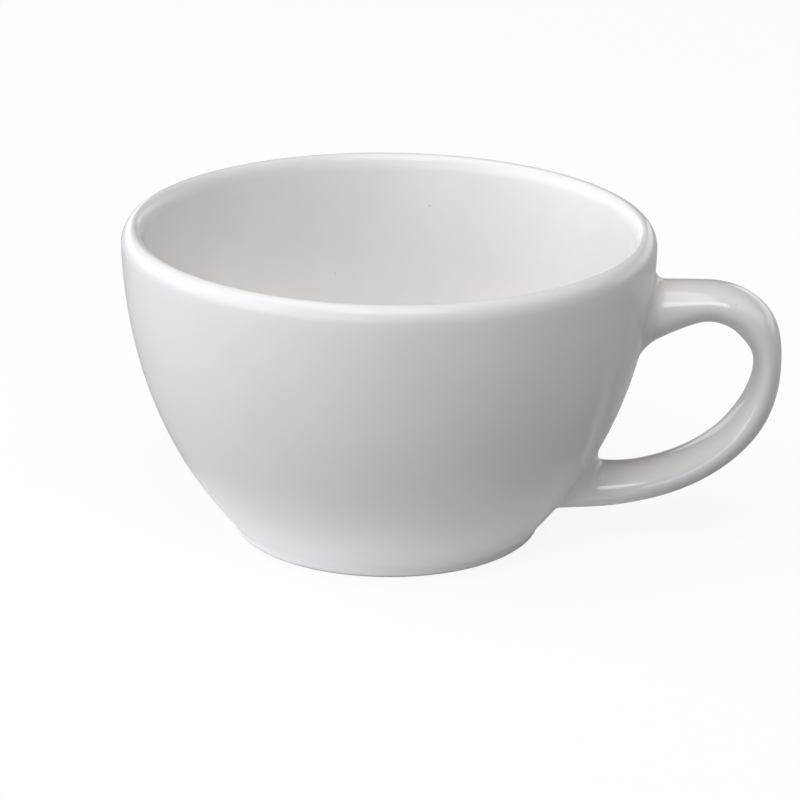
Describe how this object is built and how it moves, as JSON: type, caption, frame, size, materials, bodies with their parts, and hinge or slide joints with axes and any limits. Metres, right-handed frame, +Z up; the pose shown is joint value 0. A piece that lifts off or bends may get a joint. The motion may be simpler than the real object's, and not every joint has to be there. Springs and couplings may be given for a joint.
{
  "type": "latte cup",
  "caption": "Wide rounded ceramic coffee cup with a thick rolled lip, a narrow foot ring and an ear-shaped handle, glazed off-white inside and out.",
  "frame": {"origin": "centre of the bounding box at the foot's bearing plane; the bowl's own axis is 13.15 mm towards -X of it", "axes": "+Z up along the bowl's axis, +X from the bowl towards the handle, XZ the plane of symmetry"},
  "size_m": [0.1362, 0.11, 0.0655],
  "materials": {
    "glazed_clay": "glossy off-white glaze",
    "joining_slip": "joining slip under the same glaze"
  },
  "bodies": {
    "root": {"bowl": "glazed_clay", "handle": "glazed_clay", "upper_slip_joint": "joining_slip", "lower_slip_joint": "joining_slip"}
  },
  "joints": []
}
